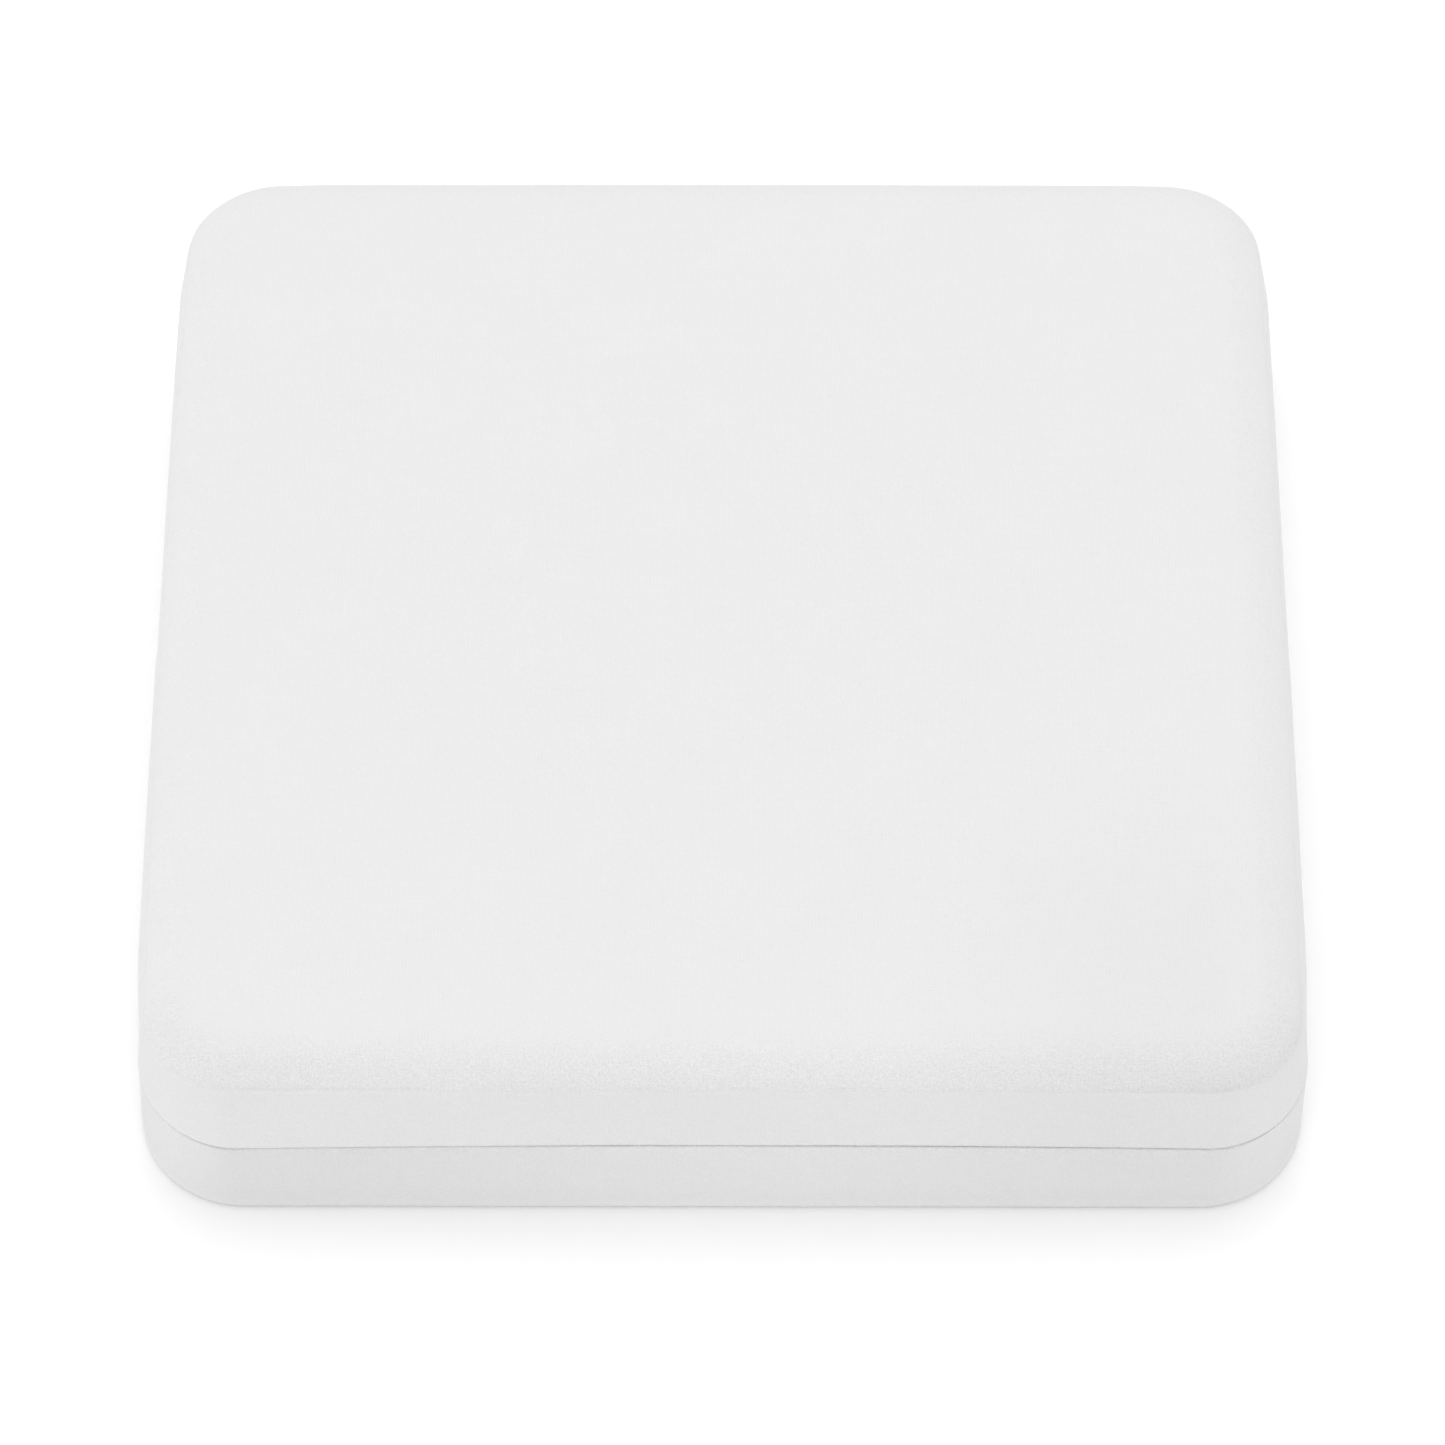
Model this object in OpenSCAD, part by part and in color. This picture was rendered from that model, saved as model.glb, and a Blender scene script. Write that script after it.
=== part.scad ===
/* [Case] */
// Width of the closed case, left to right
case_w = 160; // [130:1:200]
// Depth of the closed case, front to back, without the hinge knuckle
case_d = 160; // [130:1:200]
// Height of the closed case
case_h = 30.6; // [30:0.1:36]
// Radius of the upright corners in plan, at the parting line
corner_r = 14.8; // [14:0.1:24]
// Height of the middle of the parting line
seam_z = 15.9; // [15.5:0.1:16.4]
// Gap between the two velvet rims when the case is closed
seam_gap = 0.3; // [0.2:0.05:0.6]
// How far the lid's walls lean in between the parting line and the crease
lid_lean = 1.7; // [1:0.1:2]
// How far the padded roll reaches in from the crease to the flat top
roll_in = 6.5; // [6:0.1:7.4]
// Height of the padded roll
roll_h = 3.2; // [3:0.1:3.6]

/* [Shells and velvet] */
// Wall thickness of the two moulded shells
shell_t = 1.8; // [1.5:0.1:2]
// Thickness of the velvet, backing and pile together
velvet_t = 0.8; // [0.6:0.05:0.9]
// Thickness of the foam under the velvet on top of the lid
lid_foam_t = 2.5; // [2.2:0.1:2.6]
// Thickness of the card glued under the base
card_t = 0.3; // [0.2:0.05:0.5]
// How far the velvet is turned in below the base's rim
base_turn_in = 6; // [5.5:0.1:7]
// How far the velvet is turned in above the lid's rim
lid_turn_in = 8; // [7.6:0.1:8.4]
// How far the velvet is turned under the base shell
turn_under = 12; // [6:0.5:13]

/* [Linings] */
// Top of the display pad above the floor
pad_top = 10; // [9.6:0.1:10.2]
// Thickness of the display pad's board
pad_board_t = 1.2; // [0.8:0.1:2]
// Thickness of the lid lining's board
lining_board_t = 1; // [0.8:0.1:1.2]
// Thickness of the wadding under the satin
lining_wadding_t = 1.5; // [1:0.1:1.7]
// Thickness of the satin
satin_t = 0.4; // [0.3:0.05:0.5]
// Length of the ring slot
ring_slot_l = 24; // [18:1:30]
// Width of the ring slot
ring_slot_w = 2.4; // [1.6:0.1:3.2]
// Width of the chain and earring slits
slit_w = 1.2; // [0.8:0.1:1.6]

/* [Hinge] */
// Length of the hinge
hinge_w = 62; // [50:1:80]
// Thickness of the hinge leaves
leaf_t = 0.6; // [0.5:0.05:0.6]
// Diameter of the hinge pin
pin_d = 1.2; // [1.1:0.1:1.3]
// Width of the snap spring
spring_w = 14; // [8:1:18]

/* [Hidden] */
$fn = 48;

// A cross-section is drawn with x measured outwards from the centre line of the
// rounded corners, so x = edge is the outer face at the parting line, and y = height.
edge = corner_r;
skin = velvet_t + shell_t;
rim_round = 0.35;
hem_round = 0.4;

// Heights in the base
base_rim_z = seam_z - seam_gap / 2;
shell_floor_z = card_t + velvet_t;
floor_top_z = shell_floor_z + shell_t;
card_inset = 1;

// Heights in the lid
lid_rim_z = seam_z + seam_gap / 2;
crease_z = case_h - roll_h;
lean_slope = lid_lean / (crease_z - lid_rim_z);
lean_angle = atan(lean_slope);
shell_top_z = case_h - velvet_t - lid_foam_t;
shell_top_round = 1.5;
ceiling_z = shell_top_z - shell_t;
ceiling_round = 0.8;

// The padded roll is an arc that is tangent to the flat top and meets the wall at the crease
roll_r = (roll_in * roll_in + roll_h * roll_h) / (2 * roll_h);
roll_x = edge - lid_lean - roll_in;
roll_z = case_h - roll_r;

// Display pad and lid lining
pad_inset = 2 * velvet_t + shell_t + 0.3;
pad_round = 2;
slit_depth = 4;
lining_inset = 2 * velvet_t + shell_t + 1.6;
lining_z = ceiling_z - lining_board_t - lining_wadding_t - satin_t;
lining_round = 1.4;

// Hinge
pin_r = pin_d / 2;
bore_r = pin_r + 0.05;
knuckle_r = bore_r + leaf_t;
pivot_inset = 0.2;
pivot_x = edge - pivot_inset;
knuckle_count = 5;
knuckle_pitch = hinge_w / knuckle_count;
knuckle_gap = 0.3;
moving_gap = 0.3;
notch_w = hinge_w + 1;
notch_h = knuckle_r + moving_gap;
leaf_low_z = base_rim_z - base_turn_in;
leaf_high_z = lid_rim_z + lid_turn_in;
rivet_x = 0.36 * hinge_w;
rivet_base_z = base_rim_z - 3.4;
rivet_lid_z = lid_rim_z + 3.4;
rivet_r = 0.9;
rivet_head_r = 1.7;
rivet_head_h = 0.6;
rivet_hole_r = rivet_r + 0.05;
rivet_length = leaf_t + shell_t - 0.1;
rivet_dome_r = 2.8;

// Snap spring: a bow between two feet that lie on the leaves
spring_t = 0.3;
spring_half_h = 3.6;
spring_depth = 3.2;
spring_foot = 1;
spring_face = edge - skin - leaf_t;
spring_r = (spring_half_h * spring_half_h + spring_depth * spring_depth) / (2 * spring_depth);

// The knuckle stands out behind the case, so the case moves forward to keep the origin central
plan_y = -(knuckle_r - pivot_inset) / 2;

// Horizontal place of the lid's leaning wall at height z, inset from the outer face
function lean_x(inset, z) = edge - inset - lean_slope * (z - lid_rim_z);

module placed() {
    translate([0, plan_y, 0]) children();
}

// The plan of the case, inset from its outer face
module plan(inset) {
    w = case_w - 2 * inset;
    d = case_d - 2 * inset;
    r = corner_r - inset;
    square([w - 2 * r, d], center = true);
    square([w, d - 2 * r], center = true);
    for (sx = [-1, 1]) for (sy = [-1, 1])
        translate([sx * (w / 2 - r), sy * (d / 2 - r)]) circle(r);
}

module plate(inset, z0, z1) {
    translate([0, 0, z0]) linear_extrude(z1 - z0) plan(inset);
}

// Sweeps a cross-section round the plan: four straight sides and four corners
module swept() {
    for (side = [0:3]) {
        across = side % 2 == 0 ? case_w : case_d;
        along = side % 2 == 0 ? case_d : case_w;
        rotate([0, 0, 90 * side])
            translate([across / 2 - corner_r, along / 2 - corner_r, 0]) {
                rotate([90, 0, 0]) linear_extrude(along - 2 * corner_r) children();
                rotate_extrude(angle = 90) children();
            }
    }
}

// The block between the corners' centre lines
module middle(z0, z1) {
    w = case_w - 2 * corner_r;
    d = case_d - 2 * corner_r;
    translate([-w / 2, -d / 2, z0]) cube([w, d, z1 - z0]);
}

// Runs a cross-section along the rear wall, from x0 for a length
module rear_strip(x0, length) {
    translate([x0, case_d / 2 - corner_r, 0])
        rotate([90, 0, 90]) linear_extrude(length) children();
}

// A rectangle in a cross-section
module band(x0, x1, z0, z1) {
    translate([x0, z0]) square([x1 - x0, z1 - z0]);
}

// A rectangle whose corners are rounded, with r0 at the bottom and r1 at the top
module soft_band(x0, x1, z0, z1, r0, r1) {
    band(x0 + r0, x1 - r0, z0, z0 + r0);
    band(x0, x1, z0 + r0, z1 - r1);
    band(x0 + r1, x1 - r1, z1 - r1, z1);
    for (x = [x0 + r0, x1 - r0]) translate([x, z0 + r0]) circle(r0);
    for (x = [x0 + r1, x1 - r1]) translate([x, z1 - r1]) circle(r1);
}

// The lid's filled section, inset by a thickness: leaning wall, padded roll and flat top
module lid_section(inset) {
    intersection() {
        polygon([
            [0, lid_rim_z], [lean_x(inset, lid_rim_z), lid_rim_z],
            [lean_x(inset, case_h), case_h], [0, case_h]
        ]);
        union() {
            band(0, roll_x, lid_rim_z, case_h - inset);
            band(roll_x, edge, lid_rim_z, crease_z - 1.5);
            translate([roll_x, roll_z]) circle(roll_r - inset);
        }
    }
}

// The lid shell's filled section, with a small round along its top edge
module lid_shell_section(inset, z0, z1, r) {
    top_x = lean_x(inset, z1 - r);
    polygon([
        [0, z0], [lean_x(inset, z0), z0], [top_x, z1 - r], [top_x - r, z1], [0, z1]
    ]);
    translate([top_x - r, z1 - r]) circle(r);
}

// The room in the rear walls for the knuckles and leaves
module hinge_notch() {
    rear_strip(-notch_w / 2, notch_w)
        band(edge - skin - velvet_t - 1, edge + 1, seam_z - notch_h, seam_z + notch_h);
}

// The part of the turned-in velvet that the leaves lie in place of
module leaf_gap(z0, z1) {
    rear_strip(-notch_w / 2, notch_w)
        polygon([
            [lean_x(skin, z0), z0], [lean_x(skin, z1), z1],
            [lean_x(skin, z1) - 2, z1], [lean_x(skin, z0) - 2, z0]
        ]);
}

// Puts a pair of things on the inner face of the base's rear wall, pointing out through it
module on_base_wall() {
    for (sx = [-1, 1])
        translate([sx * rivet_x, case_d / 2 - skin, rivet_base_z]) rotate([-90, 0, 0]) children();
}

// The same on the lid's rear wall, which leans
module on_lid_wall() {
    y = case_d / 2 - skin - lean_slope * (rivet_lid_z - lid_rim_z);
    for (sx = [-1, 1])
        translate([sx * rivet_x, y, rivet_lid_z]) rotate([lean_angle - 90, 0, 0]) children();
}

// A rivet and its hole, both drawn from the shell's inner face, with a leaf of some thickness behind it
module rivet(leaf) {
    translate([0, 0, -leaf]) {
        cylinder(r = rivet_r, h = rivet_length);
        intersection() {
            translate([0, 0, -rivet_head_h]) cylinder(r = rivet_head_r, h = rivet_head_h);
            translate([0, 0, rivet_dome_r - rivet_head_h]) sphere(r = rivet_dome_r);
        }
    }
}

module rivet_hole() {
    translate([0, 0, -1]) cylinder(r = rivet_hole_r, h = rivet_length + 2);
}

// Slits for a chain and for a pair of earrings, and a slot for a ring
module pad_slits() {
    module slit(x, y, length, width, angle) {
        translate([x, y, pad_top - slit_depth]) rotate([0, 0, angle])
            linear_extrude(slit_depth + 1) {
                square([length - width, width], center = true);
                for (s = [-1, 1]) translate([s * (length - width) / 2, 0]) circle(width / 2);
            }
    }
    for (s = [-1, 1]) {
        slit(s * 0.32 * case_w, 0.36 * case_d, 12, slit_w, -45 * s);
        slit(s * 0.14 * case_w, -0.1 * case_d, 8, slit_w, 0);
    }
    slit(0, -0.3 * case_d, ring_slot_l, ring_slot_w, 0);
}

// ---- Base ----

module base_bottom_card() {
    color("whitesmoke") placed() plate(card_inset, 0, card_t);
}

module base_shell() {
    color("white") placed() difference() {
        plate(velvet_t, shell_floor_z, base_rim_z - velvet_t);
        plate(skin, floor_top_z, base_rim_z);
        hinge_notch();
        on_base_wall() rivet_hole();
    }
}

module base_cover() {
    inner = edge - skin - velvet_t;
    color("snow") placed() difference() {
        swept() difference() {
            union() {
                soft_band(inner, edge, card_t, base_rim_z, hem_round, rim_round);
                band(edge - turn_under, edge - hem_round, card_t, shell_floor_z);
            }
            band(edge - skin, edge - velvet_t, shell_floor_z, base_rim_z - velvet_t);
            band(inner - 1, edge - skin, shell_floor_z, base_rim_z - base_turn_in);
        }
        hinge_notch();
        rear_strip(-notch_w / 2, notch_w)
            band(inner - 1, edge - skin, shell_floor_z, base_rim_z);
    }
}

module display_board() {
    color("tan") placed() plate(pad_inset + velvet_t, floor_top_z, floor_top_z + pad_board_t);
}

module display_foam() {
    x = edge - pad_inset - velvet_t;
    z0 = floor_top_z + pad_board_t;
    z1 = pad_top - velvet_t;
    r = pad_round - velvet_t;
    color("ivory") placed() difference() {
        union() {
            swept() {
                band(0, x, z0, z1 - r);
                band(0, x - r, z1 - r, z1);
                translate([x - r, z1 - r]) circle(r);
            }
            middle(z0, z1);
        }
        pad_slits();
    }
}

module display_cover() {
    x = edge - pad_inset;
    z1 = pad_top;
    r = pad_round;
    color("snow") placed() difference() {
        union() {
            swept() difference() {
                union() {
                    band(0, x, floor_top_z, z1 - r);
                    band(0, x - r, z1 - r, z1);
                    translate([x - r, z1 - r]) circle(r);
                }
                band(-1, x - velvet_t, floor_top_z - 1, z1 - r);
                band(-1, x - r, z1 - r - 1, z1 - velvet_t);
                translate([x - r, z1 - r]) circle(r - velvet_t);
            }
            middle(z1 - velvet_t, z1);
        }
        pad_slits();
    }
}

// ---- Lid ----

module lid_shell() {
    z0 = lid_rim_z + velvet_t;
    color("white") placed() difference() {
        union() {
            swept() difference() {
                lid_shell_section(velvet_t, z0, shell_top_z, shell_top_round);
                lid_shell_section(skin, z0 - 1, ceiling_z, ceiling_round);
            }
            middle(ceiling_z, shell_top_z);
        }
        hinge_notch();
        on_lid_wall() rivet_hole();
    }
}

module lid_top_foam() {
    color("ivory") placed() {
        swept() intersection() {
            lid_section(velvet_t);
            band(0, edge, shell_top_z, case_h);
        }
        middle(shell_top_z, case_h - velvet_t);
    }
}

module lid_cover() {
    z1 = lid_rim_z + lid_turn_in;
    inner = skin + velvet_t;
    color("snow") placed() difference() {
        union() {
            swept() difference() {
                lid_section(0);
                difference() {
                    lid_section(velvet_t);
                    band(0, edge, lid_rim_z, lid_rim_z + velvet_t);
                    polygon([
                        [lean_x(skin, lid_rim_z), lid_rim_z], [lean_x(skin, z1), z1],
                        [lean_x(inner, z1), z1], [lean_x(inner, lid_rim_z), lid_rim_z]
                    ]);
                }
                polygon([
                    [-1, lid_rim_z - 1], [lean_x(inner, lid_rim_z - 1), lid_rim_z - 1],
                    [lean_x(inner, z1), z1], [-1, z1]
                ]);
                for (x = [edge, edge - inner]) lid_rim_corner(x, x == edge ? 1 : -1);
            }
            middle(case_h - velvet_t, case_h);
        }
        hinge_notch();
        leaf_gap(lid_rim_z - 1, z1 + 1);
    }
}

// What is cut from a square corner of the lid's rim to round it
module lid_rim_corner(x, side) {
    difference() {
        translate([x - side * rim_round, lid_rim_z - rim_round])
            square([2 * rim_round, 4 * rim_round], center = true);
        translate([x - side * rim_round, lid_rim_z + rim_round]) circle(rim_round);
    }
}

module lid_lining_board() {
    color("tan") placed()
        plate(lining_inset + satin_t, ceiling_z - lining_board_t, ceiling_z);
}

// The lining's filled section, inset by a thickness, with its lower edge rounded
module lining_section(inset) {
    x = edge - lining_inset - inset;
    z = lining_z + inset;
    r = lining_round - inset;
    band(0, x - r, z, z + r);
    band(0, x, z + r, ceiling_z);
    translate([x - r, z + r]) circle(r);
}

module lid_lining_wadding() {
    color("ivory") placed() {
        swept() intersection() {
            lining_section(satin_t);
            band(0, edge, 0, ceiling_z - lining_board_t);
        }
        middle(lining_z + satin_t, ceiling_z - lining_board_t);
    }
}

module lid_lining_satin() {
    color("white") placed() {
        swept() difference() {
            lining_section(0);
            lining_section(satin_t);
        }
        middle(lining_z, lining_z + satin_t);
    }
}

// ---- Hinge ----

// The eye of a knuckle and the web that carries it; side is 1 for the lid and -1 for the base
module knuckle_section(side) {
    web_z = seam_z + side * (knuckle_r + bore_r) / 2;
    difference() {
        union() {
            translate([pivot_x, seam_z]) circle(knuckle_r);
            translate([(spring_face + pivot_x - 0.4) / 2, web_z])
                square([pivot_x - 0.4 - spring_face, leaf_t], center = true);
        }
        translate([pivot_x, seam_z]) circle(bore_r);
    }
}

module knuckles(side, first) {
    for (i = [first:2:knuckle_count - 1])
        rear_strip((i - knuckle_count / 2) * knuckle_pitch + knuckle_gap / 2, knuckle_pitch - knuckle_gap)
            knuckle_section(side);
}

module hinge_leaf_base() {
    z1 = seam_z - bore_r;
    color("silver") placed() difference() {
        union() {
            knuckles(-1, 0);
            rear_strip(-hinge_w / 2, hinge_w) {
                band(spring_face, edge - skin, leaf_low_z, z1);
                band(spring_face, pivot_x - notch_h, z1 - leaf_t, z1);
            }
        }
        on_base_wall() rivet_hole();
    }
}

module hinge_leaf_lid() {
    z0 = seam_z + bore_r;
    color("silver") placed() difference() {
        union() {
            knuckles(1, 1);
            rear_strip(-hinge_w / 2, hinge_w) {
                polygon([
                    [lean_x(skin, z0), z0], [lean_x(skin, leaf_high_z), leaf_high_z],
                    [lean_x(skin + leaf_t, leaf_high_z), leaf_high_z],
                    [lean_x(skin + leaf_t, z0), z0]
                ]);
                band(spring_face, pivot_x - notch_h, z0, z0 + leaf_t);
            }
        }
        on_lid_wall() rivet_hole();
    }
}

module hinge_pin() {
    color("silver") placed() rear_strip(-hinge_w / 2 - 0.2, hinge_w + 0.4)
        translate([pivot_x, seam_z]) circle(pin_r);
}

// A strip that lies on the inner faces of both leaves, as thick as inset
module leaf_face(inset) {
    x = spring_face - inset;
    z0 = seam_z - 3 * spring_half_h;
    z1 = seam_z + 3 * spring_half_h;
    lean = lean_slope * (z1 - lid_rim_z);
    polygon([[0, z0], [x, z0], [x, lid_rim_z], [x - lean, z1], [0, z1]]);
}

module hinge_spring() {
    bow_x = spring_face - spring_depth + spring_r;
    color("gainsboro") placed() rear_strip(-spring_w / 2, spring_w) {
        intersection() {
            leaf_face(spring_t);
            difference() {
                translate([bow_x, seam_z]) circle(spring_r);
                translate([bow_x, seam_z]) circle(spring_r - spring_t);
            }
        }
        difference() {
            leaf_face(0);
            leaf_face(spring_t);
            band(0, edge, seam_z - spring_half_h + spring_t, seam_z + spring_half_h - spring_t);
            band(0, edge, 0, seam_z - spring_half_h - spring_foot);
            band(0, edge, seam_z + spring_half_h + spring_foot, case_h);
        }
    }
}

module base_rivets() {
    color("silver") placed() on_base_wall() rivet(leaf_t);
}

module lid_rivets() {
    color("silver") placed() on_lid_wall() rivet(leaf_t * cos(lean_angle));
}

base_bottom_card();
base_shell();
base_cover();
display_board();
display_foam();
display_cover();
lid_shell();
lid_top_foam();
lid_cover();
lid_lining_board();
lid_lining_wadding();
lid_lining_satin();
hinge_leaf_base();
hinge_leaf_lid();
hinge_pin();
hinge_spring();
base_rivets();
lid_rivets();
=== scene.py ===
"""A closed, hinged jewellery case in white velvet: the looks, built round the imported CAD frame."""

import math

import bpy
import numpy as np
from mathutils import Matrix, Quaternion, Vector, noise


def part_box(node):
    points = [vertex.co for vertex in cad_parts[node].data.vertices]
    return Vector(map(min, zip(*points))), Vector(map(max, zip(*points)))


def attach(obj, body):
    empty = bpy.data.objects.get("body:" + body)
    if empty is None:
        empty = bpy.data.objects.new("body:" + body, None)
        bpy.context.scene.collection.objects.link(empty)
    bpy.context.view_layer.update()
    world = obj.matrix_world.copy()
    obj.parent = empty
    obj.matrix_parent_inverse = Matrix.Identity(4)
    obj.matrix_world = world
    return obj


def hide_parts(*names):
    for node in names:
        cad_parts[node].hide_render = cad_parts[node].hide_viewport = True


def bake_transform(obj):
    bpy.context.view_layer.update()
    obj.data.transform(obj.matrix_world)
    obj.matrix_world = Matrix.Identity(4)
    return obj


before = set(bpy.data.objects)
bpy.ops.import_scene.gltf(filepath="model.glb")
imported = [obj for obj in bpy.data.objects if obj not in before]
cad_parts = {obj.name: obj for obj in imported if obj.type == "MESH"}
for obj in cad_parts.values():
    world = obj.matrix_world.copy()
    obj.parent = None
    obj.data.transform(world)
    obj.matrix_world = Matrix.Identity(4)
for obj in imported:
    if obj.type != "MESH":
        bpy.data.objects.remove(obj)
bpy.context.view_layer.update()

# ---------------------------------------------------------------- sizes, in metres
MM = 0.001
CORNER = 14.8 * MM  # plan corner radius of the outer face at the parting line
VELVET = 0.8 * MM
SHELL = 1.8 * MM
ROLL_IN = 6.5 * MM  # reach of the padded roll, in from the crease
ROLL_H = 3.2 * MM
LEAN = 1.7 * MM  # how far the lid's walls lean in, from rim to crease
RIM_ROUND = 0.35 * MM
HEM_ROUND = 0.5 * MM
LID_TURN_IN = 8 * MM
BASE_TURN_IN = 6 * MM
TURN_UNDER = 12 * MM
CARD_INSET = 1 * MM
NOTCH_HALF = 31.5 * MM  # half the width of the hinge's notch in the rear walls

base_lo, base_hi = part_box("base_cover")
lid_lo, lid_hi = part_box("lid_cover")
foam_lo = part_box("lid_top_foam")[0]
pad_lo, pad_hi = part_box("display_cover")
board_lo, board_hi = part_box("display_board")
satin_lo, satin_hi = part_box("lid_lining_satin")
wadding_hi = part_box("lid_lining_wadding")[1]
spring_lo, spring_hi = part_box("hinge_spring")

CENTRE_Y = (base_lo.y + base_hi.y) / 2
HALF = (base_hi.x - base_lo.x) / 2
STRAIGHT = HALF - CORNER  # from the middle of a side to the corner's centre
BASE_RIM = base_hi.z
LID_RIM = lid_lo.z
TOP = lid_hi.z
CREASE = TOP - ROLL_H
SEAM = (BASE_RIM + LID_RIM) / 2
LEAN_SLOPE = LEAN / (CREASE - LID_RIM)
NOTCH_H = 1.55 * MM  # height of the hinge's notch, up and down from the parting line


# ---------------------------------------------------------------- camera
CAMERA_LENS = 165.0
CAMERA_DISTANCE = 0.9473
CAMERA_ELEVATION = math.radians(54.78)
CAMERA_AZIMUTH = 0.0031
CAMERA_ROLL = -0.0014
CAMERA_AIM = Vector((-0.07 * MM, CENTRE_Y - 0.32 * MM, 2.1 * MM))


def make_camera():
    data = bpy.data.cameras.new("camera")
    data.lens = CAMERA_LENS
    data.sensor_width = 36
    data.clip_start = 0.02
    data.clip_end = 20
    camera = bpy.data.objects.new("camera", data)
    bpy.context.scene.collection.objects.link(camera)
    back = Vector((
        math.sin(CAMERA_AZIMUTH) * math.cos(CAMERA_ELEVATION),
        -math.cos(CAMERA_AZIMUTH) * math.cos(CAMERA_ELEVATION),
        math.sin(CAMERA_ELEVATION),
    ))
    camera.location = CAMERA_AIM + CAMERA_DISTANCE * back
    level = (-back).to_track_quat("-Z", "Y")
    camera.rotation_euler = (level @ Quaternion((0, 0, 1), CAMERA_ROLL)).to_euler()
    bpy.context.scene.camera = camera


make_camera()


# ---------------------------------------------------------------- mesh helpers
def new_object(name, mesh):
    obj = bpy.data.objects.new(name, mesh)
    bpy.context.scene.collection.objects.link(obj)
    return obj


def mesh_object(name, verts, faces, uvs=None, masks=None, smooth=True):
    """A mesh object from numpy vertices, faces, one UV a vertex and named float masks."""
    mesh = bpy.data.meshes.new(name)
    mesh.from_pydata(verts.tolist(), [], faces)
    mesh.validate()
    if smooth:
        mesh.shade_smooth()
    if uvs is not None:
        layer = mesh.uv_layers.new(name="cloth")
        corners = np.zeros(len(mesh.loops), np.int32)
        mesh.loops.foreach_get("vertex_index", corners)
        layer.data.foreach_set("uv", uvs[corners].astype(np.float32).ravel())
    for key, values in (masks or {}).items():
        attribute = mesh.attributes.new(key, "FLOAT", "POINT")
        attribute.data.foreach_set("value", values.astype(np.float32))
    return new_object(name, mesh)


def plan_columns(n_side, n_corner):
    """Points on the corners' centre lines, and the outward directions from them, once round the plan."""
    centres, outward = [], []
    along = np.linspace(-STRAIGHT, STRAIGHT, n_side + 1)
    for k in range(4):
        c, s = math.cos(k * math.pi / 2), math.sin(k * math.pi / 2)
        for t in along:
            centres.append((c * STRAIGHT - s * t, s * STRAIGHT + c * t))
            outward.append((c, s))
        for j in range(1, n_corner):
            a = (k + j / n_corner) * math.pi / 2
            centres.append(((c - s) * STRAIGHT, (s + c) * STRAIGHT))
            outward.append((math.cos(a), math.sin(a)))
    return np.array(centres), np.array(outward)


def lengths_along(path):
    steps = np.hypot(*np.diff(path, axis=0).T)
    return np.concatenate([[0], np.cumsum(steps)])


def line(a, b, step):
    """Points from a towards b, without b itself."""
    a, b = np.array(a, float), np.array(b, float)
    n = max(1, round(float(np.hypot(*(b - a))) / step))
    return [tuple(a + (b - a) * i / n) for i in range(n)]


def arc(cx, cz, r, a0, a1, step):
    """Points on a circle from angle a0 towards a1, in degrees, without the last."""
    n = max(2, round(abs(math.radians(a1 - a0)) * r / step))
    angles = [math.radians(a0 + (a1 - a0) * i / n) for i in range(n)]
    return [(cx + r * math.cos(a), cz + r * math.sin(a)) for a in angles]


def faces_between(rings):
    """Faces from each ring of vertex numbers to the next. Where columns meet, a face loses a corner."""
    faces = []
    for a, b in zip(rings, rings[1:]):
        for j in range(len(a)):
            k = (j + 1) % len(a)
            corners = list(dict.fromkeys((a[j], b[j], b[k], a[k])))
            if len(corners) > 2:
                faces.append(tuple(corners))
    return faces


def sweep(path, n_side, n_corner, closed, move=None):
    """Sweeps a path of (outward, up) points round the plan.

    An open path begins and ends on the corners' centre lines, where a grid fills the ring.
    move(x, z, s, centres, outward) gives each ring's own outward and up distances.
    """
    path = np.array(path)
    centres, outward = plan_columns(n_side, n_corner)
    n = len(centres)
    s = lengths_along(path)
    verts, uvs, lengths, faces, rings = [], [], [], [], []

    def ring(x, z, at):
        xs, zs = np.full(n, x), np.full(n, z)
        if move:
            xs, zs = move(x, z, at, centres, outward)
        plan = centres + outward * xs[:, None]
        first = len(verts)
        verts.extend(np.column_stack([plan[:, 0], plan[:, 1] + CENTRE_Y, zs]).tolist())
        uvs.extend((centres + outward * at).tolist())
        lengths.extend([at] * n)
        return list(range(first, first + n))

    def flat_ring(z, at, reverse):
        """The ring on the centre lines, filled by a grid, whose columns meet at each corner's centre."""
        first, w = len(verts), n_side + 1
        lines = np.linspace(-STRAIGHT, STRAIGHT, w)
        for y in lines:
            for x in lines:
                verts.append((x, y + CENTRE_Y, z))
                uvs.append((x, y))
                lengths.append(at)
        for row in range(n_side):
            for col in range(n_side):
                a = first + row * w + col
                face = (a, a + 1, a + w + 1, a + w)
                faces.append(face[::-1] if reverse else face)
        side = [
            [first + i * w + n_side for i in range(w)],
            [first + n_side * w + n_side - i for i in range(w)],
            [first + (n_side - i) * w for i in range(w)],
            [first + i for i in range(w)],
        ]
        out = []
        for k in range(4):
            out += side[k] + [side[k][-1]] * (n_corner - 1)
        return out

    for i, (x, z) in enumerate(path):
        if not closed and i == 0:
            rings.append(flat_ring(z, s[i], False))
        elif not closed and i == len(path) - 1:
            rings.append(flat_ring(z, s[i], True))
        else:
            rings.append(ring(x, z, s[i]))
    faces += faces_between(rings + rings[:1] if closed else rings)
    return np.array(verts), faces, np.array(uvs), np.array(lengths)


def noise_at(points, wavelength, seed):
    """Smooth noise between -1 and 1 at each point."""
    shift = Vector((17.3 * seed, 5.1 * seed, 9.7 * seed))
    return np.array([noise.noise(Vector(p) / wavelength + shift) for p in points])


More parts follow.
